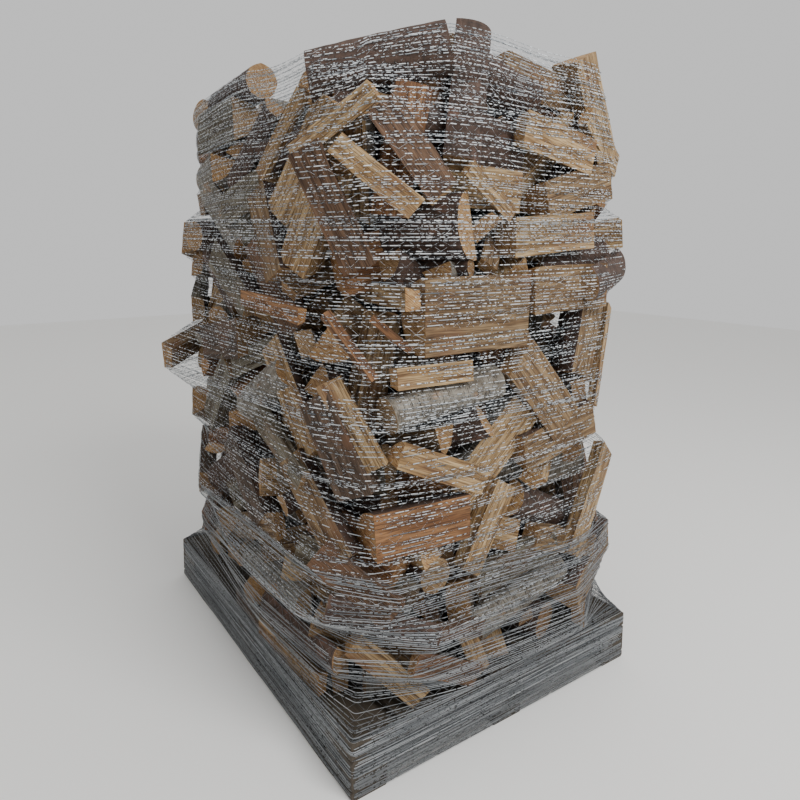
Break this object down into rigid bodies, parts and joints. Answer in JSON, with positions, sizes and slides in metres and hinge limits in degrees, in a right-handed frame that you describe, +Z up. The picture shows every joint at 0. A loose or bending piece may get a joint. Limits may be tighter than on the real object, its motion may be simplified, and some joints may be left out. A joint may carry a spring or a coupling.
{
  "type": "netted pallet load of split firewood",
  "caption": "Wooden pallet heaped with loose split birch firewood, held by a stretched knitted net wound round the load and the pallet.",
  "frame": {"origin": "on the ground under the middle of the pallet", "axes": "+X along the pallet's 1200 mm side, +Y along its 1000 mm side, +Z up"},
  "size_m": [1.2597, 1.1475, 1.8071],
  "materials": {
    "pallet": "weathered sawn softwood",
    "pale": "freshly split, long grain",
    "tan": "split, long grain",
    "orange": "split, warm orange-brown heartwood and inner bark",
    "bark": "rough dark bark",
    "white_bark": "papery white birch bark with dark flecks",
    "heap": "loose split logs, mixed",
    "net": "white translucent knitted polyethylene"
  },
  "bodies": {
    "root": {"bottom_board_1": "pallet", "bottom_board_2": "pallet", "bottom_board_3": "pallet", "block_1": "pallet", "block_2": "pallet", "block_3": "pallet", "stringer_board_1": "pallet", "block_4": "pallet", "block_5": "pallet", "block_6": "pallet", "stringer_board_2": "pallet", "block_7": "pallet", "block_8": "pallet", "block_9": "pallet", "stringer_board_3": "pallet", "deck_board_1": "pallet", "deck_board_2": "pallet", "deck_board_3": "pallet", "deck_board_4": "pallet", "deck_board_5": "pallet", "deck_board_6": "pallet", "deck_board_7": "pallet", "half_log_01": "bark", "quarter_log_02": "bark", "slat_03": "pale", "slat_04": "pale", "slab_05": "pale", "quarter_log_06": "pale", "billet_07": "pale", "quarter_log_08": "tan", "half_log_09": "bark", "slab_10": "tan", "slat_11": "pale", "billet_12": "pale", "billet_13": "pale", "quarter_log_14": "tan", "half_log_15": "tan", "quarter_log_16": "tan", "billet_17": "pale", "slat_18": "orange", "slab_19": "tan", "quarter_log_20": "pale", "slat_21": "orange", "slab_22": "tan", "quarter_log_23": "pale", "quarter_log_24": "orange", "round_log_25": "white_bark", "slab_26": "pale", "billet_27": "tan", "slab_28": "pale", "half_log_29": "white_bark", "half_log_30": "white_bark", "billet_31": "pale", "quarter_log_32": "bark", "quarter_log_33": "bark", "slab_34": "tan", "slab_35": "pale", "slab_36": "orange", "log_heap": "heap", "pallet_net": "net"}
  },
  "joints": []
}
